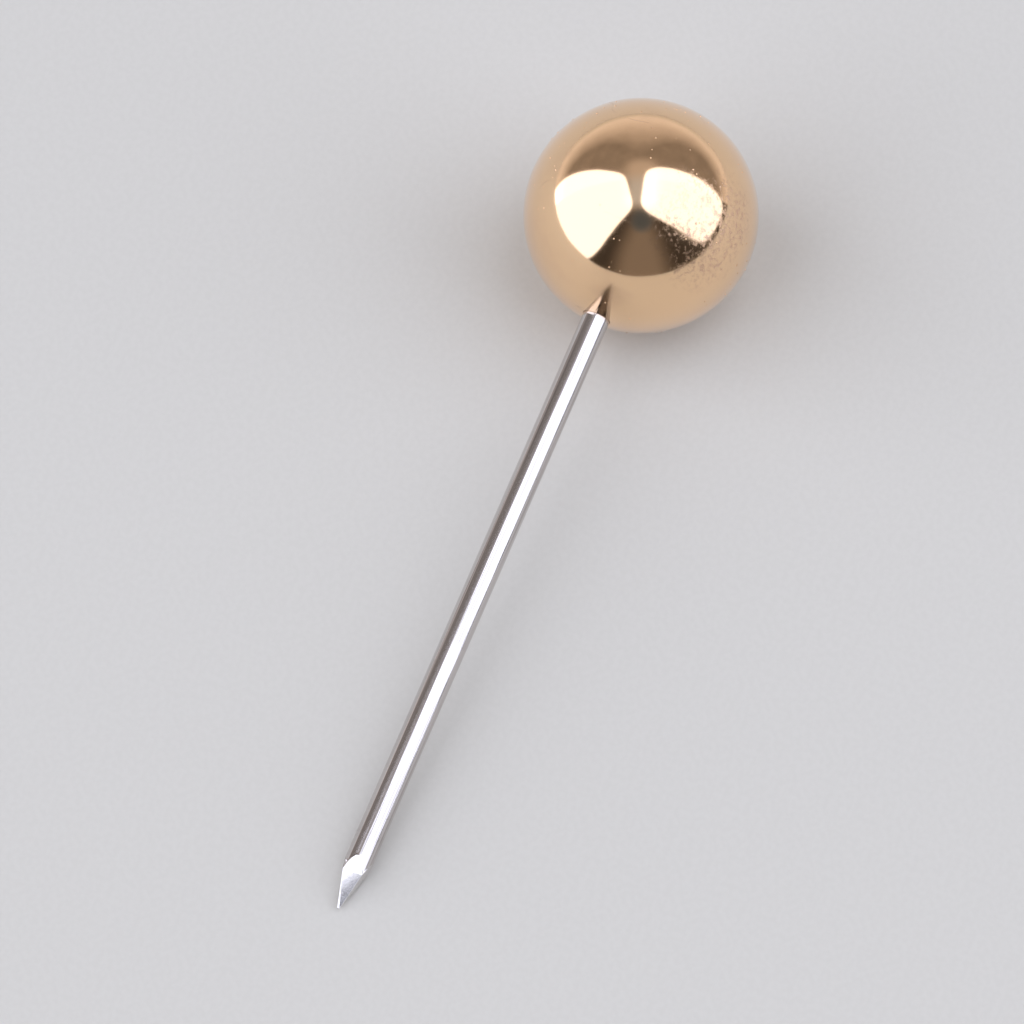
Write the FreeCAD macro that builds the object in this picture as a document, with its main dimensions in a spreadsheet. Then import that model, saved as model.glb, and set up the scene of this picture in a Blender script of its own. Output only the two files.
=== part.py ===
"""A ball-head pin: a plated ball moulded on a steel wire that is pinched to a four-sided point.

Both pieces are drawn standing on their own axis, with the neck at the origin: the neck is the
place where the wire leaves the ball. The ball lies below it, and the point is at the top.
The lying pose then turns them together, so that the pin rests on a table at Z = 0, on its
ball and on the shoulder of its point. All sizes are in millimetres.
"""

import FreeCAD
import Part
import os

import Sketcher

SIZES = {
    "ball_diameter": 4.2,
    "wire_diameter": 0.5,
    "exposed_length": 11.8,
    "socket_depth": 2.7,
    "cut_end_chamfer": 0.06,
    "point_length": 0.95,
    "tip_width": 0.04,
    "cutter_clearance": 0.3,
}

POINT_FACETS = 4
FULL_TURN = 360

ROOT_POINT = (-1, 1)
AXIS_LINE = -2
START, END, CENTRE = 1, 2, 3


def make_sizes(doc):
    """Put every driving size in the spreadsheet, under its own alias."""
    sheet = doc.addObject("Spreadsheet::Sheet", "sizes")
    for row, (alias, size) in enumerate(SIZES.items(), start=1):
        sheet.set(f"A{row}", alias.replace("_", " "))
        sheet.set(f"B{row}", str(size))
        sheet.setAlias(f"B{row}", alias)
    doc.recompute()
    return sheet


def make_lying_pose(doc):
    """Work out how the pin lies: its tilt, and where that puts the neck.

    The table touches the ball, and the round wire where the lowest facet of the point begins.
    """
    pose = doc.addObject("App::VarSet", "lying_pose")
    pose.addProperty("App::PropertyAngle", "tilt", "Pose", "slope of the wire, down to the point")
    pose.addProperty("App::PropertyDistance", "neck_x", "Pose", "neck, from the middle of the length")
    pose.addProperty("App::PropertyDistance", "neck_z", "Pose", "neck, above the table")

    ball_radius = "sizes.ball_diameter / 2"
    wire_radius = "sizes.wire_diameter / 2"
    reach = f"({ball_radius} + sizes.exposed_length - sizes.point_length)"
    pose.setExpression(
        "tilt",
        f"asin({ball_radius} / hypot({reach}; {wire_radius})) - atan({wire_radius} / {reach})",
    )
    pose.setExpression(
        "neck_x",
        f"({ball_radius} * (1 + cos(tilt)) - sizes.exposed_length * cos(tilt)"
        " - sizes.tip_width / 2 * sin(tilt)) / 2",
    )
    pose.setExpression("neck_z", f"{ball_radius} * (1 - sin(tilt))")
    return pose


def lay_down(body):
    """Bind a body's placement to the lying pose, with the point towards +X."""
    body.Placement.Rotation = FreeCAD.Rotation(FreeCAD.Vector(0, 1, 0), 90)
    body.setExpression("Placement.Rotation.Angle", "90 deg + lying_pose.tilt")
    body.setExpression("Placement.Base.x", "lying_pose.neck_x")
    body.setExpression("Placement.Base.z", "lying_pose.neck_z")


def sketch_beside_axis(body, name):
    """Start a sketch in the plane through the body's axis: X is the radius, Y is up the axis."""
    sketch = body.newObject("Sketcher::SketchObject", name)
    plane = next(item for item in body.Origin.OriginFeatures if item.Role == "XZ_Plane")
    sketch.AttachmentSupport = [(plane, "")]
    sketch.MapMode = "FlatFace"
    return sketch


def bind(sketch, name, formula, kind, *where):
    """Add a dimension that follows a formula of the sizes."""
    start_value = float(sketch.evalExpression(formula))
    index = sketch.addConstraint(Sketcher.Constraint(kind, *where, start_value))
    sketch.renameConstraint(index, name)
    sketch.setExpression(f"Constraints.{name}", formula)


def closed_outline(sketch, corners):
    """Draw straight lines through the corners, given as (radius, height), and join their ends."""
    points = [FreeCAD.Vector(radius, height, 0) for radius, height in corners]
    following = points[1:] + points[:1]
    lines = [Part.LineSegment(start, end) for start, end in zip(points, following)]
    sketch.addGeometry(lines, False)
    for line in range(len(lines)):
        after = (line + 1) % len(lines)
        sketch.addConstraint(Sketcher.Constraint("Coincident", line, END, after, START))


def revolve(body, feature, sketch, name):
    """Turn a sketch once about the body's axis."""
    turned = body.newObject(f"PartDesign::{feature}", name)
    turned.Profile = (sketch, [""])
    turned.ReferenceAxis = (sketch, ["V_Axis"])
    turned.Angle = FULL_TURN
    sketch.Visibility = False
    return turned


def draw_wire_end(sketch, top, top_name, top_formula):
    """Draw half of the wire's section, from its blunt end in the ball up to a given height.

    The socket in the ball is drawn with this too, so that the two always fit each other.
    """
    radius = SIZES["wire_diameter"] / 2
    chamfer = SIZES["cut_end_chamfer"]
    depth = SIZES["socket_depth"]
    closed_outline(sketch, [
        (0, -depth),
        (radius - chamfer, -depth),
        (radius, chamfer - depth),
        (radius, top),
        (0, top),
    ])
    end_face, chamfer_line, side, top_line, axis_line = range(5)
    sketch.addConstraint([
        Sketcher.Constraint("Horizontal", end_face),
        Sketcher.Constraint("Vertical", side),
        Sketcher.Constraint("Horizontal", top_line),
        Sketcher.Constraint("PointOnObject", axis_line, START, AXIS_LINE),
        Sketcher.Constraint("PointOnObject", axis_line, END, AXIS_LINE),
    ])
    bind(sketch, "depth", "sizes.socket_depth", "DistanceY", end_face, START, *ROOT_POINT)
    bind(sketch, "radius", "sizes.wire_diameter / 2", "DistanceX", *ROOT_POINT, side, START)
    bind(sketch, top_name, top_formula, "DistanceY", *ROOT_POINT, top_line, START)
    for direction, name in (("DistanceX", "chamfer_across"), ("DistanceY", "chamfer_along")):
        bind(sketch, name, "sizes.cut_end_chamfer", direction,
             chamfer_line, START, chamfer_line, END)


def make_ball_head(doc):
    """Make the ball, with the blind socket that the wire's blunt end fills."""
    body = doc.addObject("PartDesign::Body", "ball_head")
    body.Label = "ball_head"

    half_disc = sketch_beside_axis(body, "ball_half_disc")
    radius = SIZES["ball_diameter"] / 2
    far_pole = FreeCAD.Vector(0, -2 * radius, 0)
    equator = FreeCAD.Vector(radius, -radius, 0)
    neck = FreeCAD.Vector(0, 0, 0)
    half_disc.addGeometry([Part.LineSegment(far_pole, neck), Part.Arc(far_pole, equator, neck)], False)
    axis_line, rim = range(2)
    half_disc.addConstraint([
        Sketcher.Constraint("Coincident", axis_line, END, *ROOT_POINT),
        Sketcher.Constraint("PointOnObject", axis_line, START, AXIS_LINE),
        Sketcher.Constraint("Coincident", rim, START, axis_line, START),
        Sketcher.Constraint("Coincident", rim, END, axis_line, END),
        Sketcher.Constraint("PointOnObject", rim, CENTRE, AXIS_LINE),
    ])
    bind(half_disc, "diameter", "sizes.ball_diameter", "Diameter", rim)
    revolve(body, "Revolution", half_disc, "ball")

    socket = sketch_beside_axis(body, "socket_half_section")
    draw_wire_end(socket, SIZES["cutter_clearance"], "clear_of_ball", "sizes.cutter_clearance")
    revolve(body, "Groove", socket, "wire_socket")
    lay_down(body)
    return body


def make_wire_shank(doc):
    """Make the wire: round, blunt in the ball, and pinched to a four-sided point."""
    body = doc.addObject("PartDesign::Body", "wire_shank")
    body.Label = "wire_shank"

    section = sketch_beside_axis(body, "wire_half_section")
    draw_wire_end(section, SIZES["exposed_length"], "exposed", "sizes.exposed_length")
    revolve(body, "Revolution", section, "round_wire")

    pinch = sketch_beside_axis(body, "pinch_wedge")
    draw_pinch_wedge(pinch)
    facet = body.newObject("PartDesign::Pocket", "point_facet")
    facet.Profile = (pinch, [""])
    facet.Type = "ThroughAll"
    facet.SideType = "Symmetric"
    pinch.Visibility = False
    doc.recompute()

    point = body.newObject("PartDesign::PolarPattern", "pinched_point")
    point.Originals = [facet]
    axis = next(item for item in body.Origin.OriginFeatures if item.Role == "Z_Axis")
    point.Axis = (axis, [""])
    point.Angle = FULL_TURN
    point.Occurrences = POINT_FACETS
    body.Tip = point
    lay_down(body)
    return body


def draw_pinch_wedge(sketch):
    """Draw the wedge that one jaw takes off: outside one facet, and clear of the wire.

    The facet line starts at the edge of the tip and passes through the side of the wire
    one point length lower. It runs on to the cutter's clearance outside the wire.
    """
    radius = SIZES["wire_diameter"] / 2
    tip = SIZES["exposed_length"]
    edge = SIZES["tip_width"] / 2
    clearance = SIZES["cutter_clearance"]
    slope = SIZES["point_length"] / (radius - edge)
    closed_outline(sketch, [
        (edge, tip),
        (radius + clearance, tip - slope * (radius + clearance - edge)),
        (radius + clearance, tip + clearance),
        (edge, tip + clearance),
    ])
    facet_line, outer_side, top_line, inner_side = range(4)
    shoulder = sketch.addGeometry(
        Part.Point(FreeCAD.Vector(radius, tip - SIZES["point_length"], 0)), True)
    sketch.addConstraint([
        Sketcher.Constraint("Vertical", outer_side),
        Sketcher.Constraint("Horizontal", top_line),
        Sketcher.Constraint("Vertical", inner_side),
        Sketcher.Constraint("PointOnObject", shoulder, START, facet_line),
    ])
    bind(sketch, "tip_edge", "sizes.tip_width / 2", "DistanceX", *ROOT_POINT, facet_line, START)
    bind(sketch, "tip_height", "sizes.exposed_length", "DistanceY", *ROOT_POINT, facet_line, START)
    bind(sketch, "shoulder_radius", "sizes.wire_diameter / 2",
         "DistanceX", *ROOT_POINT, shoulder, START)
    bind(sketch, "point_length", "sizes.point_length",
         "DistanceY", shoulder, START, facet_line, START)
    bind(sketch, "side_clearance", "sizes.cutter_clearance",
         "DistanceX", shoulder, START, outer_side, START)
    bind(sketch, "top_clearance", "sizes.cutter_clearance",
         "DistanceY", inner_side, END, inner_side, START)


def check_model(doc, pieces):
    """Stop if any object failed, or if a piece is not one valid solid."""
    for item in doc.Objects:
        if "Invalid" in item.State or "Error" in item.State:
            raise RuntimeError(f"{item.Name} did not build: {item.State}")
    for piece in pieces:
        shape = piece.Shape
        if shape.isNull() or not shape.isValid() or len(shape.Solids) != 1:
            raise RuntimeError(f"{piece.Label} is not one valid solid")


def main():
    """Build the pin and write one STEP file for each piece."""
    doc = FreeCAD.newDocument("ball_head_pin")
    make_sizes(doc)
    make_lying_pose(doc)
    pieces = [make_ball_head(doc), make_wire_shank(doc)]
    doc.recompute()
    check_model(doc, pieces)

    os.makedirs("parts", exist_ok=True)
    for piece in pieces:
        piece.Shape.exportStep(f"parts/{piece.Label}.step")
        box = piece.Shape.optimalBoundingBox(False)
        print(f"{piece.Label}: {piece.Shape.Volume:.4f} mm3,"
              f" X {box.XMin:.4f} to {box.XMax:.4f},"
              f" Y {box.YMin:.4f} to {box.YMax:.4f}, Z {box.ZMin:.4f} to {box.ZMax:.4f}")


main()
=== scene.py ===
"""Dresses a ball-head pin: a plated ball on a drawn steel wire, lying on a pale table.

Lengths are in metres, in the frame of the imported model: +X runs from the ball to the point, and
+Z is up. Both pieces are shaped on their own axis first, with the neck at the origin and the
point at the top, and then laid down together.
"""

from __future__ import annotations

import logging
import math
from dataclasses import dataclass
from enum import Enum
from typing import Any, Optional, Union

import bmesh
import bpy
from mathutils import Matrix, Vector


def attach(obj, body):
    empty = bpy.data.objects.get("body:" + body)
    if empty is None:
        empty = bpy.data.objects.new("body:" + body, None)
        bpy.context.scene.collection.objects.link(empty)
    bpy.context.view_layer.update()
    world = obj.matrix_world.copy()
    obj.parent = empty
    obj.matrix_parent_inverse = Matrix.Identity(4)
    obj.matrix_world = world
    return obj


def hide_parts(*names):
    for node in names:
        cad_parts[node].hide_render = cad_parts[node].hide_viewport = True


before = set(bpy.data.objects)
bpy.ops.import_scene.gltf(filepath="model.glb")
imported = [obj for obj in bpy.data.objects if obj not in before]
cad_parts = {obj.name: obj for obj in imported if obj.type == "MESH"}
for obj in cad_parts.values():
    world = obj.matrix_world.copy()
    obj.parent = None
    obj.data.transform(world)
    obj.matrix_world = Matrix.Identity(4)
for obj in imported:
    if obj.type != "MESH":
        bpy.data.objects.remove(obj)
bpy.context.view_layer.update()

MM = 0.001
MICRON = 0.000001
SEAM_GAP = 0.05 * MICRON
CUT_GAP = 0.02 * MICRON
NOISE_MEAN = 0.5
PINCHED = "pinched"

log = logging.getLogger("ball_head_pin")


class Slot(Enum):
    """The material slots of the record."""

    BALL = "gold_plate"
    WIRE = "bright_wire"


class Signal:
    """One output socket of a node tree. Arithmetic on it adds Math nodes to the tree."""

    def __init__(self, graph: Graph, socket: bpy.types.NodeSocket) -> None:
        """Keep the socket, and the graph it is part of."""
        self.graph = graph
        self.socket = socket

    def other(self, name: str) -> Signal:
        """Return another output of the same node."""
        return Signal(self.graph, self.graph.find(self.socket.node.outputs, name))

    def math(self, operation: str, *rest: Feed) -> Signal:
        """Return the result of a Math node that takes this signal first."""
        return self.graph.math(operation, self, *rest)

    def held(self) -> Signal:
        """Hold the signal between 0 and 1."""
        return self.math("MAXIMUM", 0.0).math("MINIMUM", 1.0)

    def __add__(self, right: Feed) -> Signal:
        """Add."""
        return self.graph.math("ADD", self, right)

    def __radd__(self, left: Feed) -> Signal:
        """Add, from the right."""
        return self.graph.math("ADD", left, self)

    def __sub__(self, right: Feed) -> Signal:
        """Subtract."""
        return self.graph.math("SUBTRACT", self, right)

    def __rsub__(self, left: Feed) -> Signal:
        """Subtract this from something."""
        return self.graph.math("SUBTRACT", left, self)

    def __mul__(self, right: Feed) -> Signal:
        """Multiply."""
        return self.graph.math("MULTIPLY", self, right)

    def __rmul__(self, left: Feed) -> Signal:
        """Multiply, from the right."""
        return self.graph.math("MULTIPLY", left, self)

    def __truediv__(self, right: Feed) -> Signal:
        """Divide."""
        return self.graph.math("DIVIDE", self, right)

    def __rtruediv__(self, left: Feed) -> Signal:
        """Divide something by this."""
        return self.graph.math("DIVIDE", left, self)

    def __pow__(self, right: Feed) -> Signal:
        """Raise to a power."""
        return self.graph.math("POWER", self, right)

    def __rpow__(self, left: Feed) -> Signal:
        """Raise something to this power."""
        return self.graph.math("POWER", left, self)

    def __neg__(self) -> Signal:
        """Change the sign."""
        return self.graph.math("MULTIPLY", self, -1.0)

    def __abs__(self) -> Signal:
        """Drop the sign."""
        return self.graph.math("ABSOLUTE", self)


Feed = Union[Signal, float, int, bool, tuple]
Colour = tuple[float, float, float, float]
Triple = tuple[float, float, float]
Reach = tuple[float, float]


@dataclass(frozen=True)
class Noise:
    """One noise pattern: its scale, the depth of its detail, and how rough that detail is."""

    scale: float
    detail: float = 0.0
    rough: float = 0.5


class Graph:
    """A node tree that is being built, for a finish, for the world or for a shape."""

    def __init__(self, tree: bpy.types.NodeTree) -> None:
        """Start from an empty tree."""
        self.tree = tree
        tree.nodes.clear()

    def find(self, sockets: Any, key: Union[str, int, None]) -> bpy.types.NodeSocket:
        """Return the socket in use that has this name or place.

        Args:
            sockets: A node's inputs or outputs.
            key: The socket's name, its number, or None for the first in use.

        Returns:
            The socket.
        """
        if isinstance(key, int):
            return sockets[key]
        return next(s for s in sockets if s.enabled and key in (None, s.name))

    def node(
        self,
        kind: str,
        settings: Optional[dict[str, Any]] = None,
        inputs: Optional[dict[Union[str, int], Feed]] = None,
        output: Union[str, int, None] = None,
    ) -> Signal:
        """Add a node, with its settings first and then its sockets.

        Args:
            kind: The node's type.
            settings: The node's properties.
            inputs: A value or a signal for each socket that isn't left as it is.
            output: The output to return.

        Returns:
            The output as a signal.
        """
        node = self.tree.nodes.new(kind)
        for name, value in (settings or {}).items():
            setattr(node, name, value)
        for key, value in (inputs or {}).items():
            socket = self.find(node.inputs, key)
            if isinstance(value, Signal):
                self.tree.links.new(value.socket, socket)
            else:
                socket.default_value = value
        if not len(node.outputs):
            return Signal(self, node.inputs[0])
        return Signal(self, self.find(node.outputs, output))

    def math(self, operation: str, *feeds: Feed) -> Signal:
        """Add a Math node."""
        return self.node("ShaderNodeMath", {"operation": operation}, dict(enumerate(feeds)))

    def dot(self, vector: Signal, along: Vector) -> Signal:
        """Return how far a vector reaches along a fixed direction."""
        inputs = {0: vector, 1: tuple(along)}
        return self.node("ShaderNodeVectorMath", {"operation": "DOT_PRODUCT"}, inputs, "Value")

    def times(self, vector: Signal, scales: Triple) -> Signal:
        """Return a vector with each part multiplied by its own number."""
        return self.node("ShaderNodeVectorMath", {"operation": "MULTIPLY"}, {0: vector, 1: scales})

    def step(self, signal: Feed, low: Feed, high: Feed) -> Signal:
        """Return a soft step.

        Args:
            signal: What the step follows.
            low: The value up to which it is 0.
            high: The value from which it is 1.

        Returns:
            The step, from 0 to 1.
        """
        settings = {"interpolation_type": "SMOOTHSTEP"}
        inputs = {"Value": signal, "From Min": low, "From Max": high}
        return self.node("ShaderNodeMapRange", settings, inputs)

    def blend(self, share: Feed, first: Feed, second: Feed) -> Signal:
        """Return a number between two, by share."""
        inputs = {"Factor": share, "A": first, "B": second}
        return self.node("ShaderNodeMix", {"data_type": "FLOAT"}, inputs)

    def tint(self, share: Feed, first: Feed, second: Feed) -> Signal:
        """Return a colour between two, by share."""
        inputs = {"Factor": share, "A": first, "B": second}
        return self.node("ShaderNodeMix", {"data_type": "RGBA"}, inputs)

    def noise(self, place: Signal, pattern: Noise) -> Signal:
        """Return smooth noise.

        Args:
            place: The place that it is read at.
            pattern: Its scale and detail.

        Returns:
            The noise from 0 to 1, round its mean.
        """
        inputs = {"Vector": place, "Scale": pattern.scale,
                  "Detail": pattern.detail, "Roughness": pattern.rough}
        return self.node("ShaderNodeTexNoise", None, inputs, "Fac")


class Shape(Graph):
    """A tree of Geometry Nodes that makes one piece from named sizes."""

    def __init__(self, name: str) -> None:
        """Start an empty shape, with one geometry output.

        Args:
            name: The tree's name.
        """
        super().__init__(bpy.data.node_groups.new(name, "GeometryNodeTree"))
        self.interface = self.tree.interface
        self.interface.new_socket("Geometry", in_out="OUTPUT", socket_type="NodeSocketGeometry")
        self.entry = self.tree.nodes.new("NodeGroupInput")
        self.values: dict[str, Any] = {}

    def size(self, name: str, value: Any, kind: str = "NodeSocketFloat") -> Signal:
        """Add a named input, and note the value that it gets.

        Args:
            name: The input's name.
            value: What the modifier sets it to.
            kind: The socket's type.

        Returns:
            The input as a signal.
        """
        socket = self.interface.new_socket(name, in_out="INPUT", socket_type=kind)
        self.values[socket.identifier] = value
        return Signal(self, self.find(self.entry.outputs, name))

    def grid(self, columns: Signal, rows: Signal) -> tuple[Signal, Signal, Signal]:
        """Start from a sheet that is one column or row wider than it has cells.

        Args:
            columns: The cells round the axis.
            rows: The cells from one end of the outline to the other.

        Returns:
            The sheet, the turn round the axis from 0 to 1, and the row's number.
        """
        inputs = {"Size X": 1.0, "Size Y": 1.0, "Vertices X": columns + 1, "Vertices Y": rows + 1}
        sheet = self.node("GeometryNodeMeshGrid", None, inputs)
        index = self.node("GeometryNodeInputIndex")
        column = self.math("FLOOR", (index + 0.5) / (rows + 1))
        return sheet, column / columns, index - column * (rows + 1)

    def passed(self, row: Signal, before: Feed, rows: Feed) -> Signal:
        """Return the share of one stretch of rows that a row has passed."""
        return ((row - before) / rows).held()

    def wrap(self, sheet: Signal, turn: Signal, radius: Signal, height: Signal) -> Signal:
        """Bend a sheet round the axis, and join its seam and its poles.

        Args:
            sheet: The sheet to bend.
            turn: The turn round the axis, from 0 to 1.
            radius: The distance from the axis.
            height: The height on the axis.

        Returns:
            The closed surface.
        """
        angle = turn * math.tau
        x = radius * angle.math("COSINE")
        y = radius * angle.math("SINE")
        place = self.node("ShaderNodeCombineXYZ", None, {"X": x, "Y": y, "Z": height})
        bent = self.node("GeometryNodeSetPosition", None, {"Geometry": sheet, "Position": place})
        inputs = {"Geometry": bent, "Distance": SEAM_GAP}
        return self.node("GeometryNodeMergeByDistance", None, inputs)

    def split(self, place: Signal) -> tuple[Signal, Signal, Signal]:
        """Split a place into its three parts."""
        x = self.node("ShaderNodeSeparateXYZ", None, {0: place}, "X")
        return x, x.other("Y"), x.other("Z")

    def build(self, name: str, geometry: Signal, finish: bpy.types.Material) -> bpy.types.Object:
        """Finish the tree, run it, and keep its result as a plain mesh.

        Args:
            name: The piece's name.
            geometry: The geometry to keep.
            finish: The material that it gets.

        Returns:
            The piece, with no modifier.
        """
        slot = self.size("Finish", finish, "NodeSocketMaterial")
        whole = self.node("GeometryNodeRealizeInstances", None, {"Geometry": geometry})
        dressed = self.node("GeometryNodeSetMaterial", None, {"Geometry": whole, "Material": slot})
        self.node("NodeGroupOutput", None, {"Geometry": dressed})

        piece = bpy.data.objects.new(name, bpy.data.meshes.new(name))
        bpy.context.scene.collection.objects.link(piece)
        modifier = piece.modifiers.new("shape", "NODES")
        modifier.node_group = self.tree
        for identifier, value in self.values.items():
            modifier[identifier] = value
        depsgraph = bpy.context.evaluated_depsgraph_get()
        mesh = bpy.data.meshes.new_from_object(piece.evaluated_get(depsgraph))
        piece.modifiers.remove(modifier)
        piece.data = mesh
        return piece


class Finish:
    """A material that is being built on one surface shader."""

    def __init__(self, name: str) -> None:
        """Start an empty material that reads the piece's own Object coordinates.

        Args:
            name: The material's name.
        """
        self.material = bpy.data.materials.new(name)
        self.material.use_nodes = True
        self.graph = Graph(self.material.node_tree)
        self.place = self.graph.node("ShaderNodeTexCoord", None, None, "Object")

    def bump(self, height: Signal, depth: float) -> Signal:
        """Turn a height into relief, as deep as a height of 1 stands."""
        inputs = {"Strength": 1.0, "Distance": depth, "Height": height}
        return self.graph.node("ShaderNodeBump", None, inputs)

    def surface(self, inputs: dict[Union[str, int], Feed]) -> bpy.types.Material:
        """Add the surface shader and the output.

        Args:
            inputs: The shader's sockets.

        Returns:
            The finished material.
        """
        shader = self.graph.node("ShaderNodeBsdfPrincipled", None, inputs)
        self.graph.node("ShaderNodeOutputMaterial", None, {"Surface": shader})
        return self.material


@dataclass(frozen=True)
class LyingPose:
    """How the pin lies on the table: on its ball, and on the shoulder of its point."""

    ball_radius: float
    wire_radius: float
    exposed_length: float
    point_length: float
    tip_width: float

    @property
    def tilt(self) -> float:
        """Work out how far the wire slopes.

        Returns:
            The slope down to the point, in radians.
        """
        reach = self.ball_radius + self.exposed_length - self.point_length
        lean = math.asin(self.ball_radius / math.hypot(reach, self.wire_radius))
        return lean - math.atan(self.wire_radius / reach)

    @property
    def axis(self) -> Vector:
        """The direction from the ball to the point."""
        return Vector((math.cos(self.tilt), 0.0, -math.sin(self.tilt)))

    @property
    def neck(self) -> Vector:
        """Work out where the wire leaves the ball.

        Returns:
            The place, with the middle of the pin's length at X = 0.
        """
        back = self.ball_radius * (1 + math.cos(self.tilt))
        front = self.exposed_length * math.cos(self.tilt)
        edge = self.tip_width / 2 * math.sin(self.tilt)
        return Vector(((back - front - edge) / 2, 0.0, self.ball_radius * (1 - math.sin(self.tilt))))

    @property
    def ball_centre(self) -> Vector:
        """The middle of the ball."""
        return self.neck - self.ball_radius * self.axis

    @property
    def matrix(self) -> Matrix:
        """Work out the move that lays an upright piece down.

        Returns:
            The move: a turn, and then a shift to the neck.
        """
        up = Vector((math.sin(self.tilt), 0.0, math.cos(self.tilt)))
        turn = Matrix((up, self.axis.cross(up), self.axis)).transposed()
        return Matrix.Translation(self.neck) @ turn.to_4x4()

    def lay_down(self, piece: bpy.types.Object) -> None:
        """Put an upright piece in its place on the table, in its mesh."""
        piece.data.transform(self.matrix)


@dataclass(frozen=True)
class GoldPlate:
    """Mirror-bright gold plating on moulded plastic, with a little haze, grain and hairlines.

    A reach is the stretch of a pattern's values over which an effect comes in.
    """

    gold: Colour = (0.92, 0.62, 0.365, 1.0)
    worn_gold: Colour = (0.66, 0.42, 0.28, 1.0)
    polish: float = 0.09
    haze: float = 0.34
    clouds: Noise = Noise(900.0, 3.0, 0.6)
    breath: float = 0.25
    breath_reach: Reach = (0.50, 0.74)
    grain: Noise = Noise(11000.0, 4.0, 0.7)
    grain_relief: float = 0.08
    rubbed_side: Triple = (0.252, 0.696, 0.672)
    rubbed_reach: Reach = (0.80, 0.97)
    rubbed_grain: Reach = (0.45, 0.66)
    rubbed_wander: float = 0.25
    rubbed_tint: float = 0.8
    rubbed_relief: float = 0.34
    sweep: Noise = Noise(520.0, 1.0)
    sweep_stretch: Triple = (1.0, 0.35, 1.6)
    hair_width: float = 0.0035
    hair_breaks: Noise = Noise(1500.0, 2.0)
    hair_reach: Reach = (0.52, 0.66)
    hair_tint: float = 0.5
    hair_haze: float = 0.18
    hair_relief: float = 0.5
    pits: Noise = Noise(42000.0, 1.0)
    pit_relief: float = 0.04
    relief: float = 0.6 * MICRON
    coat: float = 0.5
    coat_polish: float = 0.04
    coat_ior: float = 1.6

    def make(self, centre: Vector, radius: float) -> bpy.types.Material:
        """Build the material.

        Args:
            centre: The middle of the ball.
            radius: The ball's radius.

        Returns:
            The material.
        """
        finish = Finish("gold_plate")
        graph = finish.graph
        shift = {0: finish.place, 1: tuple(centre)}
        place = graph.node("ShaderNodeVectorMath", {"operation": "SUBTRACT"}, shift)
        side = graph.dot(place, Vector(self.rubbed_side)) / radius

        clouds = graph.noise(place, self.clouds)
        grain = graph.noise(place, self.grain)
        wander = (clouds - NOISE_MEAN) * self.rubbed_wander
        rubbed = graph.step(side + wander, *self.rubbed_reach)
        breath = graph.step(clouds, *self.breath_reach) * self.breath
        dull = (rubbed * graph.step(grain, *self.rubbed_grain) + breath).math("MINIMUM", 1.0)

        sweep = graph.noise(graph.times(place, self.sweep_stretch), self.sweep)
        hair = 1 - graph.step(abs(sweep - NOISE_MEAN), 0.0, self.hair_width)
        hairline = hair * graph.step(graph.noise(place, self.hair_breaks), *self.hair_reach)

        pits = graph.noise(place, self.pits)
        height = (grain * (self.grain_relief + self.rubbed_relief * rubbed)
                  + pits * self.pit_relief - hairline * self.hair_relief)
        worn = (dull * self.rubbed_tint + hairline * self.hair_tint).math("MINIMUM", 1.0)
        return finish.surface({
            "Base Color": graph.tint(worn, self.gold, self.worn_gold),
            "Metallic": 1.0,
            "Roughness": self.polish + (self.haze - self.polish) * dull + self.hair_haze * hairline,
            "Coat Weight": self.coat,
            "Coat Roughness": self.coat_polish,
            "Coat IOR": self.coat_ior,
            "Normal": finish.bump(height, self.relief),
        })


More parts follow.
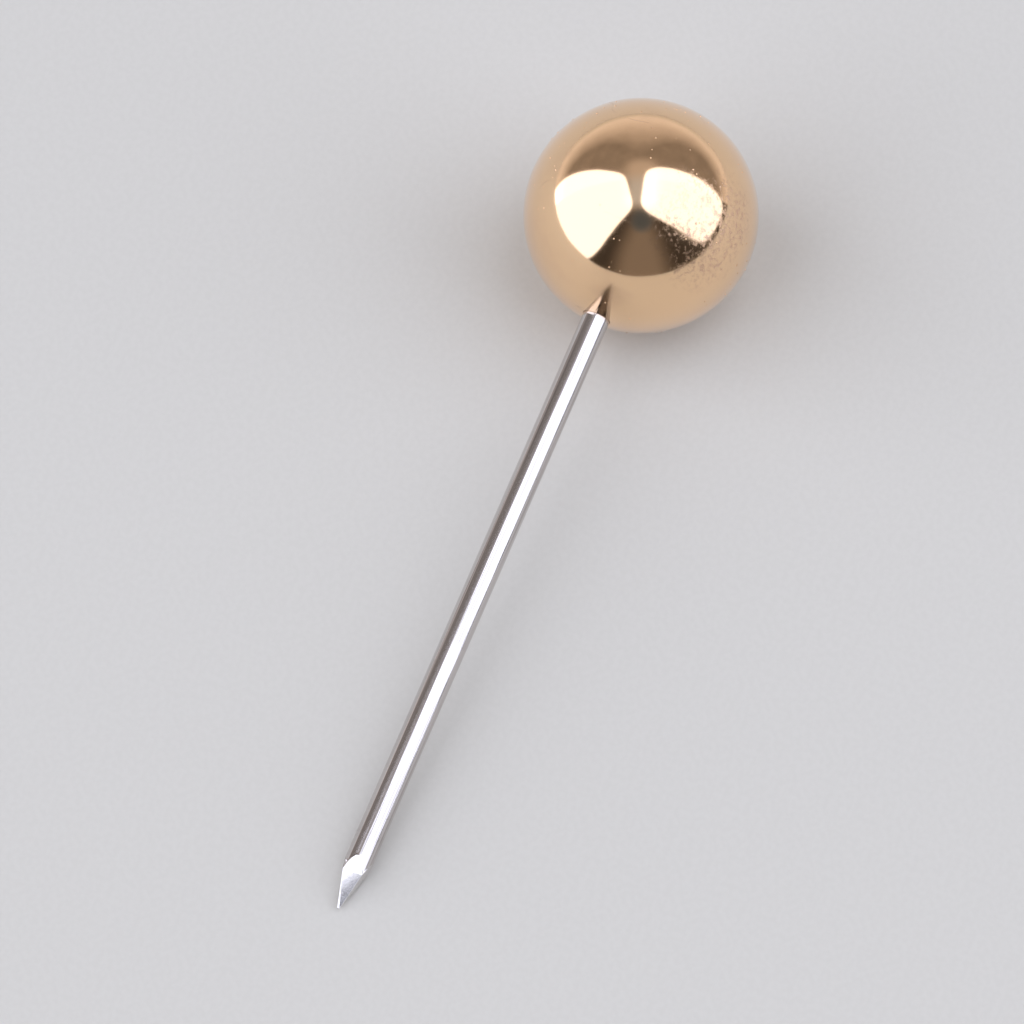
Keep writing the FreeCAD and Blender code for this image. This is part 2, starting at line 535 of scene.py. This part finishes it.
@dataclass(frozen=True)
class BrightWire:
    """Bright drawn steel, with lines along its length, and cutting marks where it is pinched.

    The stretches give each pattern's scale along the wire and the two across it.
    """

    steel: Colour = (0.62, 0.58, 0.565, 1.0)
    dark_steel: Colour = (0.34, 0.31, 0.30, 1.0)
    cut_steel: Colour = (0.75, 0.72, 0.71, 1.0)
    polish: float = 0.10
    broad_lines: Noise = Noise(1.0, 2.0)
    broad_stretch: Triple = (90.0, 8000.0, 8000.0)
    broad_relief: float = 1.8
    fine_lines: Noise = Noise(1.0, 2.0, 0.7)
    fine_stretch: Triple = (220.0, 24000.0, 24000.0)
    fine_relief: float = 0.6
    line_reach: Reach = (0.54, 0.70)
    line_tint: float = 0.6
    line_haze: float = 0.05
    smudges: Noise = Noise(1300.0, 3.0, 0.65)
    stain_reach: Reach = (0.56, 0.78)
    stain_tint: float = 0.25
    stain_haze: float = 0.10
    marks: Noise = Noise(1.0, 3.0, 0.7)
    mark_stretch: Triple = (30000.0, 9000.0, 9000.0)
    mark_relief: float = 0.4
    cut_haze: float = 0.24
    cut_variation: float = 0.16
    relief: float = 4.0 * MICRON

    def make(self, pose: LyingPose) -> bpy.types.Material:
        """Build the material.

        Args:
            pose: The way the wire lies, which the lines follow.

        Returns:
            The material.
        """
        finish = Finish("bright_wire")
        graph = finish.graph
        turn = {"Vector": finish.place, "Rotation": (0.0, -pose.tilt, 0.0)}
        along = graph.node("ShaderNodeMapping", {"vector_type": "POINT"}, turn)

        broad = graph.noise(graph.times(along, self.broad_stretch), self.broad_lines)
        fine = graph.noise(graph.times(along, self.fine_stretch), self.fine_lines)
        line = graph.step(fine, *self.line_reach)
        stain = graph.step(graph.noise(along, self.smudges), *self.stain_reach)
        marks = graph.noise(graph.times(along, self.mark_stretch), self.marks)
        pinched = graph.node("ShaderNodeAttribute", {"attribute_name": PINCHED}, None, "Fac")

        drawn = broad * self.broad_relief + fine * self.fine_relief
        height = graph.blend(pinched, drawn, marks * self.mark_relief)
        shade = line * self.line_tint + stain * self.stain_tint
        wall = graph.tint(shade, self.steel, self.dark_steel)
        drawn_haze = self.polish + self.stain_haze * stain + self.line_haze * line
        cut_haze = self.cut_haze + self.cut_variation * (marks - NOISE_MEAN)
        return finish.surface({
            "Base Color": graph.tint(pinched, wall, self.cut_steel),
            "Metallic": 1.0,
            "Roughness": graph.blend(pinched, drawn_haze, cut_haze),
            "Normal": finish.bump(height, self.relief),
        })


@dataclass(frozen=True)
class PaleTable:
    """Plain pale card with a fine tooth."""

    card: Colour = (0.615, 0.595, 0.54, 1.0)
    shaded_card: Colour = (0.60, 0.58, 0.525, 1.0)
    tooth: Noise = Noise(9000.0, 2.0)
    tooth_reach: Reach = (0.3, 0.7)
    roughness: float = 0.7
    shine: float = 0.2

    def make(self) -> bpy.types.Material:
        """Build the material.

        Returns:
            The material.
        """
        finish = Finish("pale_card")
        graph = finish.graph
        tooth = graph.step(graph.noise(finish.place, self.tooth), *self.tooth_reach)
        return finish.surface({
            "Base Color": graph.tint(tooth, self.card, self.shaded_card),
            "Roughness": self.roughness,
            "Specular IOR Level": self.shine,
        })


@dataclass(frozen=True)
class SoftPanel:
    """One soft light, placed as it shows in the ball.

    The places are to the right of the ball, towards the front and up, in units of the distance.
    """

    name: str
    low_front: Triple
    low_back: Triple
    high_back: Triple
    level: float


@dataclass(frozen=True)
class Room:
    """The dim room that the pin mirrors: a taupe back wall, a pale gap and the dark lens.

    A reach says how far sideways, forwards or up a direction points where a part comes in.
    """

    dark_level: float = 0.05
    side_reach: Reach = (0.1, 0.4)
    wall_reach: Reach = (0.12, 0.15)
    wall_foot: float = 0.97
    wall_fall: float = 0.88
    wall_flare: float = 2.8
    wall_limits: Reach = (0.27, 0.82)
    mottle: Noise = Noise(7.0, 3.0, 0.6)
    mottle_level: float = 0.14
    gap_level: float = 0.52
    gap_reach: Reach = (0.83, 0.94)
    gap_front: Reach = (0.2, 0.5)
    overhead_reach: Reach = (-0.3, 0.0)
    front_level: float = 0.17
    front_reach: Reach = (0.0, 0.7)
    front_taper: float = 1.5
    lens_level: float = 0.10
    lens_drop: float = 0.2
    lens_radii: Reach = (0.25, 0.03)
    table_level: float = 0.6
    edge_reach: Reach = (0.0, 0.12)
    edge_back: Reach = (0.55, 0.95)
    dim_colour: Colour = (1.0, 0.87, 0.80, 1.0)
    bright_colour: Colour = (1.0, 0.96, 0.98, 1.0)
    overhead_colour: Colour = (1.0, 1.08, 1.25, 1.0)
    lens_colour: Colour = (0.8, 1.0, 1.3, 1.0)
    table_colour: Colour = (1.0, 0.997, 0.99, 1.0)

    def make(self, to_right: Vector, to_front: Vector, to_camera: Vector) -> None:
        """Make the world, from plain directions that stay as they are in every view.

        Args:
            to_right: The level direction to the right of the picture.
            to_front: The level direction towards the camera.
            to_camera: The direction to the camera.
        """
        world = bpy.data.worlds.new("room")
        world.use_nodes = True
        bpy.context.scene.world = world
        graph = Graph(world.node_tree)
        look = graph.node("ShaderNodeTexCoord", None, None, "Generated")
        sideways = abs(graph.dot(look, to_right))
        forwards = graph.dot(look, to_front)
        up = graph.dot(look, Vector((0.0, 0.0, 1.0)))

        wall = graph.step(-forwards, *self.wall_reach)
        height = up * (1 + self.wall_flare * sideways * sideways)
        dimmest, brightest = self.wall_limits
        fading = self.wall_foot - self.wall_fall * height
        fading = fading.math("MINIMUM", brightest).math("MAXIMUM", dimmest)
        mottle = self.mottle_level * (graph.noise(look, self.mottle) - NOISE_MEAN)
        behind = 1 - graph.step(forwards, *self.gap_front)
        between = 1 - graph.step(sideways, *self.side_reach)
        gap = graph.step(up, *self.gap_reach) * behind * between
        ahead = forwards - self.front_taper * sideways
        before = graph.step(ahead, *self.front_reach) * self.front_level
        lens_place = (to_camera - Vector((0.0, 0.0, self.lens_drop))).normalized()
        rim, middle = (math.cos(radius) for radius in self.lens_radii)
        lens = graph.step(graph.dot(look, lens_place), rim, middle)
        low = 1 - graph.step(up, *self.edge_reach)
        edge = low * graph.step(-forwards, *self.edge_back)

        level = graph.blend(wall, self.dark_level + before, fading + mottle)
        level = graph.blend(gap, level, self.gap_level)
        level = graph.blend(lens, level, self.lens_level)
        level = graph.blend(edge, level, self.table_level)
        colour = graph.tint(level, self.dim_colour, self.bright_colour)
        overhead = gap * graph.step(forwards, *self.overhead_reach)
        colour = graph.tint(overhead, colour, self.overhead_colour)
        colour = graph.tint(lens, colour, self.lens_colour)
        colour = graph.tint(edge, colour, self.table_colour)
        sky = graph.node("ShaderNodeBackground", None, {"Color": colour, "Strength": level})
        graph.node("ShaderNodeOutputWorld", None, {"Surface": sky})


@dataclass(frozen=True)
class Studio:
    """The camera, the pale table, two soft lights, and the room round them."""

    pose: LyingPose
    elevation: float = math.radians(63.0)
    azimuth: float = math.radians(22.8)
    camera_distance: float = 0.2
    lens: float = 398.0
    sensor_width: float = 36.0
    clip: Reach = (0.01, 20.0)
    aim: Triple = (0.0001, 0.0, 0.0012)
    table_radius: float = 0.8
    table_sides: int = 96
    light_distance: float = 0.9
    panels: tuple[SoftPanel, ...] = (
        SoftPanel(
            "left_light", (-0.70, 0.62, -0.05), (-0.93, -0.45, -0.03), (-0.49, -0.36, 1.80), 1.9),
        SoftPanel(
            "right_light", (0.99, 0.68, 0.15), (1.10, -0.09, 0.10), (0.10, -0.41, 1.02), 1.9),
    )
    light_colour: Triple = (0.95, 1.0, 1.17)
    panel_border: float = 1.07
    squareness: float = 5.0
    fade_reach: Reach = (0.955, 1.0)
    room: Room = Room()

    @property
    def front(self) -> Vector:
        """The level direction towards the camera."""
        return Vector((math.cos(self.azimuth), math.sin(self.azimuth), 0.0))

    @property
    def right(self) -> Vector:
        """The level direction to the right of the picture."""
        return Vector((-math.sin(self.azimuth), math.cos(self.azimuth), 0.0))

    @property
    def to_camera(self) -> Vector:
        """The direction from the pin to the camera."""
        up = Vector((0.0, 0.0, math.sin(self.elevation)))
        return math.cos(self.elevation) * self.front + up

    def make(self) -> None:
        """Set up everything that isn't part of the pin."""
        self.make_camera()
        self.make_table()
        for panel in self.panels:
            self.make_light(panel)
        self.room.make(self.right, self.front, self.to_camera)

    def make_camera(self) -> None:
        """Place the camera at the photograph's viewing angle."""
        data = bpy.data.cameras.new("camera")
        data.lens = self.lens
        data.sensor_width = self.sensor_width
        data.clip_start, data.clip_end = self.clip
        camera = bpy.data.objects.new("camera", data)
        bpy.context.scene.collection.objects.link(camera)
        back = self.to_camera
        turn = Matrix((self.right, back.cross(self.right), back)).transposed()
        place = Vector(self.aim) + self.camera_distance * back
        camera.matrix_world = Matrix.Translation(place) @ turn.to_4x4()
        bpy.context.scene.camera = camera

    def make_table(self) -> None:
        """Make the table top, which the pin lies on at Z = 0."""
        mesh = bpy.data.meshes.new("table")
        edit = bmesh.new()
        bmesh.ops.create_circle(
            edit, cap_ends=True, segments=self.table_sides, radius=self.table_radius)
        edit.to_mesh(mesh)
        edit.free()
        mesh.materials.append(PaleTable().make())
        table = bpy.data.objects.new("table", mesh)
        bpy.context.scene.collection.objects.link(table)

    def make_light(self, panel: SoftPanel) -> None:
        """Place one soft light.

        Args:
            panel: The light's corners and its level.
        """
        corners = [self.light_distance * self.beside_ball(place)
                   for place in (panel.low_front, panel.low_back, panel.high_back)]
        low_front, low_back, high_back = corners
        centre = (low_front + high_back) / 2
        width = (low_back - low_front) * self.panel_border
        height = (high_back - low_back) * self.panel_border
        across = width.normalized()
        away = across.cross(height).normalized()
        if away.dot(centre) < 0:
            across, away = -across, -away
        up = away.cross(across)
        data = bpy.data.lights.new(panel.name, "AREA")
        data.shape = "RECTANGLE"
        data.size = width.length
        data.size_y = height.length
        data.energy = panel.level * math.pi * width.length * height.length
        data.color = self.light_colour
        self.round_corners(data)
        light = bpy.data.objects.new(panel.name, data)
        bpy.context.scene.collection.objects.link(light)
        turn = Matrix((across, up, away)).transposed()
        light.matrix_world = Matrix.Translation(self.pose.ball_centre + centre) @ turn.to_4x4()
        light.visible_camera = False

    def round_corners(self, data: bpy.types.Light) -> None:
        """Make a soft light fade at its border, and round its corners.

        Args:
            data: The light, which is changed in place.
        """
        data.use_nodes = True
        graph = Graph(data.node_tree)
        spot = graph.node("ShaderNodeNewGeometry", None, None, "Parametric")
        across = abs(graph.dot(spot, Vector((2.0, 0.0, 0.0))) - 1)
        upward = abs(graph.dot(spot, Vector((0.0, 2.0, 0.0))) - 1)
        border = (across ** self.squareness + upward ** self.squareness) ** (1 / self.squareness)
        glow = 1 - graph.step(border, *self.fade_reach)
        light = graph.node("ShaderNodeEmission", None, {"Strength": glow})
        graph.node("ShaderNodeOutputLight", None, {"Surface": light})

    def beside_ball(self, place: Triple) -> Vector:
        """Turn a place given as right, front and up into the model's own directions."""
        right, front, up = place
        return right * self.right + front * self.front + Vector((0.0, 0.0, up))


@dataclass(frozen=True)
class BallHead:
    """The ball: moulded, plated, and rounded in at the mouth where the wire goes in.

    The ripple and the specks start a few mouth radii off the axis, and are on the far side too.
    """

    radius: float
    mouth_radius: float
    socket_depth: float
    lip_radius: float = 0.018 * MM
    columns: int = 256
    ball_rows: int = 176
    lip_rows: int = 8
    ripple: float = 3.0 * MICRON
    waves: Noise = Noise(1100.0, 2.0, 0.45)
    ripple_start: Reach = (1.2, 2.4)
    specks: float = 8000000.0
    speck_radius: float = 14.0 * MICRON
    speck_sizes: Reach = (0.5, 1.35)
    speck_flatness: float = 0.6
    speck_rounding: int = 2
    speck_start: float = 1.5
    speck_far_side: float = 1.6
    patches: Noise = Noise(700.0, 1.0)
    patch_reach: Reach = (0.42, 0.62)
    seed: int = 7

    def build(self, finish: bpy.types.Material) -> bpy.types.Object:
        """Shape the ball on its axis.

        Args:
            finish: The ball's material.

        Returns:
            The ball, standing upright.
        """
        shape = Shape("ball_head_shape")
        radius = shape.size("Ball Radius", self.radius)
        mouth = shape.size("Mouth Radius", self.mouth_radius)
        lip = shape.size("Lip Radius", self.lip_radius)
        depth = shape.size("Socket Depth", self.socket_depth)
        columns = shape.size("Columns", self.columns, "NodeSocketInt")
        ball_rows = shape.size("Ball Rows", self.ball_rows, "NodeSocketInt")
        lip_rows = shape.size("Lip Rows", self.lip_rows, "NodeSocketInt")
        ripple = shape.size("Ripple Height", self.ripple)

        # After the lip, one row makes the socket's wall and one its flat end.
        sheet, turn, row = shape.grid(columns, ball_rows + lip_rows + 2)
        lip_across = mouth + lip
        lip_up = ((radius - lip) * (radius - lip) - lip_across * lip_across).math("SQRT")
        lip_start = lip_up.math("ARCTAN2", lip_across)

        angle = -math.pi / 2 + shape.passed(row, 0, ball_rows) * (lip_start + math.pi / 2)
        on_lip = shape.passed(row, ball_rows, lip_rows)
        bend = lip_start + on_lip * (math.pi - lip_start)
        past_lip = on_lip.math("GREATER_THAN", 0.0)
        in_socket = shape.passed(row, ball_rows + lip_rows, 1)
        at_end = shape.passed(row, ball_rows + lip_rows + 1, 1)

        rounded = lip_across + lip * bend.math("COSINE")
        across = shape.blend(past_lip, radius * angle.math("COSINE"), rounded)
        rounded = lip_up + lip * bend.math("SINE")
        height = shape.blend(past_lip, radius * angle.math("SINE"), rounded)
        height = shape.blend(in_socket, height - radius, -depth)
        ball = shape.wrap(sheet, turn, across * (1 - at_end), height)
        ball = self.add_ripple(shape, ball, ripple, radius, mouth)
        ball = self.add_specks(shape, ball, radius, mouth)
        return shape.build("plated_ball", ball, finish)

    def add_ripple(
        self, shape: Shape, ball: Signal, ripple: Signal, radius: Signal, mouth: Signal
    ) -> Signal:
        """Give the moulded skin its slight waviness.

        Args:
            shape: The shape being built.
            ball: The smooth ball.
            ripple: The height of the waves.
            radius: The ball's radius.
            mouth: The radius of the socket, which stays true.

        Returns:
            The wavy ball.
        """
        place = shape.node("GeometryNodeInputPosition")
        x, y, z = shape.split(place)
        outward = shape.node("ShaderNodeCombineXYZ", None, {"X": x, "Y": y, "Z": z + radius})
        off_axis = (x * x + y * y).math("SQRT")
        near, far = self.ripple_start
        free = shape.step(off_axis, near * mouth, far * mouth)
        free = free.math("MAXIMUM", z.math("LESS_THAN", -radius))
        wave = (shape.noise(place, self.waves) - NOISE_MEAN) * 2 * ripple * free / radius
        inputs = {0: outward, "Scale": wave}
        offset = shape.node("ShaderNodeVectorMath", {"operation": "SCALE"}, inputs)
        return shape.node("GeometryNodeSetPosition", None, {"Geometry": ball, "Offset": offset})

    def add_specks(self, shape: Shape, ball: Signal, radius: Signal, mouth: Signal) -> Signal:
        """Scatter the tiny beads of plating that stand on the skin.

        Args:
            shape: The shape being built.
            ball: The ball that they stand on.
            radius: The ball's radius.
            mouth: The radius of the socket, which stays clear.

        Returns:
            The ball with its specks.
        """
        seed = shape.size("Seed", self.seed, "NodeSocketInt")
        density = shape.size("Specks", self.specks)
        speck_radius = shape.size("Speck Radius", self.speck_radius)
        place = shape.node("GeometryNodeInputPosition")
        x, y, z = shape.split(place)
        off_axis = (x * x + y * y).math("SQRT")
        far_side = z.math("LESS_THAN", -self.speck_far_side * radius)
        clear = off_axis.math("GREATER_THAN", self.speck_start * mouth).math("MAXIMUM", far_side)
        patchy = shape.step(shape.noise(place, self.patches), *self.patch_reach)
        settings = {"distribute_method": "RANDOM"}
        inputs = {"Mesh": ball, "Density": density * patchy * clear, "Seed": seed}
        points = shape.node("GeometryNodeDistributePointsOnFaces", settings, inputs, "Points")
        smallest, largest = self.speck_sizes
        inputs = {"Min": smallest, "Max": largest, "Seed": seed}
        spread = shape.node("FunctionNodeRandomValue", {"data_type": "FLOAT"}, inputs)
        inputs = {"X": spread, "Y": spread, "Z": spread * self.speck_flatness}
        flat = shape.node("ShaderNodeCombineXYZ", None, inputs)
        inputs = {"Radius": speck_radius, "Subdivisions": self.speck_rounding}
        bead = shape.node("GeometryNodeMeshIcoSphere", None, inputs)
        inputs = {"Points": points, "Instance": bead,
                  "Rotation": points.other("Rotation"), "Scale": flat}
        beads = shape.node("GeometryNodeInstanceOnPoints", None, inputs)
        joined = shape.node("GeometryNodeJoinGeometry")
        target = joined.socket.node.inputs[0]
        shape.tree.links.new(beads.socket, target)
        shape.tree.links.new(ball.socket, target)
        return joined


@dataclass(frozen=True)
class WireShank:
    """The wire: drawn round, cut blunt in the ball, and pinched to a four-sided point."""

    radius: float
    exposed_length: float
    socket_depth: float
    end_chamfer: float
    point_length: float
    tip_width: float
    columns: int = 160
    plain_rows: int = 64
    shoulder_rows: int = 72
    end_rows: int = 6
    draw_relief: float = 0.22 * MICRON
    draw_lines: Noise = Noise(6.5, 1.0)
    line_stretch: float = 25.0
    shoulder_margin: float = 6.0
    shoulder_share: float = 0.5
    burr_height: float = 5.0 * MICRON
    burr_width: float = 24.0 * MICRON
    burr_rags: Noise = Noise(5.0, 2.0)
    least_burr: float = 0.35
    burr_swing: float = 1.3
    nub_height: float = 16.0 * MICRON
    nub_width: float = 26.0 * MICRON
    nub_turn: float = 0.135
    nub_place: float = 0.12 * MM
    ridge_radius: float = 4.0 * MICRON
    ridge_steps: int = 2
    ridge_roundness: float = 0.5
    facets: int = 4

    def build(self, finish: bpy.types.Material) -> bpy.types.Object:
        """Shape the round wire on its axis, and then pinch its point.

        Args:
            finish: The wire's material.

        Returns:
            The wire, standing upright.
        """
        piece = self.draw_round_wire(finish)
        self.pinch_point(piece.data)
        return piece

    def draw_round_wire(self, finish: bpy.types.Material) -> bpy.types.Object:
        """Make the drawn wire, with the burr that the pinching raised at its shoulders.

        Args:
            finish: The wire's material.

        Returns:
            The round wire, up to the tip's height.
        """
        shape = Shape("wire_shank_shape")
        radius = shape.size("Wire Radius", self.radius)
        length = shape.size("Exposed Length", self.exposed_length)
        depth = shape.size("Socket Depth", self.socket_depth)
        chamfer = shape.size("End Chamfer", self.end_chamfer)
        point = shape.size("Point Length", self.point_length)
        edge = shape.size("Tip Edge", self.tip_width / 2)
        relief = shape.size("Draw Relief", self.draw_relief)
        columns = shape.size("Columns", self.columns, "NodeSocketInt")
        plain = shape.size("Plain Rows", self.plain_rows, "NodeSocketInt")
        shoulder = shape.size("Shoulder Rows", self.shoulder_rows, "NodeSocketInt")
        end = shape.size("End Rows", self.end_rows, "NodeSocketInt")

        # One row makes the blunt end, one its chamfer, and one closes the tip.
        sheet, turn, row = shape.grid(columns, plain + shoulder + end + 3)
        shoulder_start = length - point - self.shoulder_margin * self.burr_width
        shoulder_end = shoulder_start + self.shoulder_share * point
        on_wall = shape.passed(row, 1, 1)
        on_plain = shape.passed(row, 2, plain)
        on_shoulder = shape.passed(row, 2 + plain, shoulder)
        on_end = shape.passed(row, 2 + plain + shoulder, end)
        at_tip = shape.passed(row, 2 + plain + shoulder + end, 1)
        height = (on_wall * chamfer - depth
                  + on_plain * (shoulder_start + depth - chamfer)
                  + on_shoulder * (shoulder_end - shoulder_start)
                  + on_end * (length - shoulder_end))
        across = shape.passed(row, 0, 1) * (radius - chamfer) + on_wall * chamfer

        angle = turn * math.tau
        cosine = angle.math("COSINE")
        sine = angle.math("SINE")
        inputs = {"X": cosine, "Y": sine, "Z": height * self.line_stretch}
        rim = shape.node("ShaderNodeCombineXYZ", None, inputs)
        lines = (shape.noise(rim, self.draw_lines) - NOISE_MEAN) * 2 * relief
        reach = abs(cosine).math("MAXIMUM", abs(sine))
        curve = length - point + point * (1 - reach) * radius / (radius - edge)
        burr = self.hill(height - curve, self.burr_width) * self.burr_height
        ragged = self.least_burr + self.burr_swing * shape.noise(rim, self.burr_rags)
        beside_nub = (turn - self.nub_turn) * math.tau * radius
        along_nub = height - (length - point + self.nub_place)
        nub = (self.hill(along_nub, self.nub_width) * self.hill(beside_nub, self.nub_width)
               * self.nub_height)
        across = across + on_wall * (lines + burr * ragged + nub)
        wire = shape.wrap(sheet, turn, across * (1 - at_tip), height)
        return shape.build("drawn_wire", wire, finish)

    def hill(self, distance: Signal, width: float) -> Signal:
        """Return a round hill, 1 at the middle, that is gone a few widths away."""
        share = distance / width
        return (-(share * share)).math("EXPONENT")

    def pinch_point(self, mesh: bpy.types.Mesh) -> None:
        """Cut the flats of the point, blunt their ridges, and mark which faces were cut.

        Args:
            mesh: The round wire, which is changed in place.
        """
        edit = bmesh.new()
        edit.from_mesh(mesh)
        bmesh.ops.recalc_face_normals(edit, faces=edit.faces)
        flat = edit.faces.layers.int.new(PINCHED)
        tip_edge = self.tip_width / 2
        lean = math.atan2(self.radius - tip_edge, self.point_length)
        for number in range(self.facets):
            turn = Matrix.Rotation(math.tau * number / self.facets, 3, "Z")
            outward = turn @ Vector((math.cos(lean), 0.0, math.sin(lean)))
            place = turn @ Vector((tip_edge, 0.0, self.exposed_length))
            geometry = [*edit.verts, *edit.edges, *edit.faces]
            cut = bmesh.ops.bisect_plane(
                edit, geom=geometry, dist=CUT_GAP, plane_co=place, plane_no=outward,
                clear_outer=True)
            rim = [item for item in cut["geom_cut"] if isinstance(item, bmesh.types.BMEdge)]
            filled = bmesh.ops.holes_fill(edit, edges=rim, sides=0)
            for face in filled["faces"]:
                face[flat] = 1
        bmesh.ops.dissolve_degenerate(edit, dist=CUT_GAP, edges=edit.edges)
        ridges = [e for e in edit.edges
                  if len(e.link_faces) == 2 and all(f[flat] for f in e.link_faces)]
        bmesh.ops.bevel(
            edit, geom=ridges, offset=self.ridge_radius, offset_type="OFFSET",
            segments=self.ridge_steps, affect="EDGES", profile=self.ridge_roundness)
        bmesh.ops.recalc_face_normals(edit, faces=edit.faces)
        for edge in edit.edges:
            edge.smooth = len({face[flat] for face in edge.link_faces}) == 1
        marks = [bool(face[flat]) for face in edit.faces]
        edit.faces.layers.int.remove(flat)
        edit.to_mesh(mesh)
        edit.free()
        pinched = mesh.attributes.new(PINCHED, "FLOAT", "CORNER")
        for face, mark in zip(mesh.polygons, marks):
            for corner in face.loop_indices:
                pinched.data[corner].value = float(mark)


@dataclass(frozen=True)
class BallHeadPin:
    """The whole pin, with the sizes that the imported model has."""

    ball_diameter: float = 4.2 * MM
    wire_diameter: float = 0.5 * MM
    exposed_length: float = 11.8 * MM
    socket_depth: float = 2.7 * MM
    cut_end_chamfer: float = 0.06 * MM
    point_length: float = 0.95 * MM
    tip_width: float = 0.04 * MM
    skin_gap: float = 1.5 * MICRON
    crease: float = math.radians(24.0)

    @property
    def pose(self) -> LyingPose:
        """The way the pin lies."""
        return LyingPose(self.ball_diameter / 2, self.wire_diameter / 2, self.exposed_length,
                         self.point_length, self.tip_width)

    def build_ball(self) -> bpy.types.Object:
        """Make, dress and place the ball.

        Returns:
            The ball, tied to its node.
        """
        radius = self.ball_diameter / 2
        ball = BallHead(radius, self.wire_diameter / 2 + self.skin_gap,
                        self.socket_depth + self.skin_gap)
        piece = ball.build(GoldPlate().make(self.pose.ball_centre, radius))
        return self.place(piece, "ball_head", Slot.BALL)

    def build_wire(self) -> bpy.types.Object:
        """Make, dress and place the wire.

        Returns:
            The wire, tied to its node.
        """
        wire = WireShank(self.wire_diameter / 2, self.exposed_length, self.socket_depth,
                         self.cut_end_chamfer, self.point_length, self.tip_width)
        piece = wire.build(BrightWire().make(self.pose))
        return self.place(piece, "wire_shank", Slot.WIRE)

    def place(self, piece: bpy.types.Object, node: str, slot: Slot) -> bpy.types.Object:
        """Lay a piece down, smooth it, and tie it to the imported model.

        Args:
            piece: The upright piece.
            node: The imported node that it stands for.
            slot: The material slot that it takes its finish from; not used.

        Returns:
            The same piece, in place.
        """
        self.pose.lay_down(piece)
        mesh = piece.data
        edit = bmesh.new()
        edit.from_mesh(mesh)
        bmesh.ops.recalc_face_normals(edit, faces=edit.faces)
        loose_ends = sum(1 for edge in edit.edges if len(edge.link_faces) != 2)
        for face in edit.faces:
            face.smooth = True
        for edge in edit.edges:
            if edge.calc_face_angle(0.0) > self.crease:
                edge.smooth = False
        volume = edit.calc_volume(signed=True)
        edit.to_mesh(mesh)
        edit.free()
        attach(piece, "root")
        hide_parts(node)
        triangles = sum(len(face.vertices) - 2 for face in mesh.polygons)
        log.info("%s stands for %s: %d triangles, %.4f mm3, %d open edges",
                 piece.name, node, triangles, volume / MM**3, loose_ends)
        return piece


def main() -> None:
    """Build the studio and both pieces of the pin."""
    logging.basicConfig(level=logging.INFO, format="%(name)s: %(message)s")
    scene = bpy.context.scene
    scene.view_settings.view_transform = "Standard"
    pin = BallHeadPin()
    Studio(pin.pose).make()
    pin.build_ball()
    pin.build_wire()


if __name__ == "__main__":
    main()
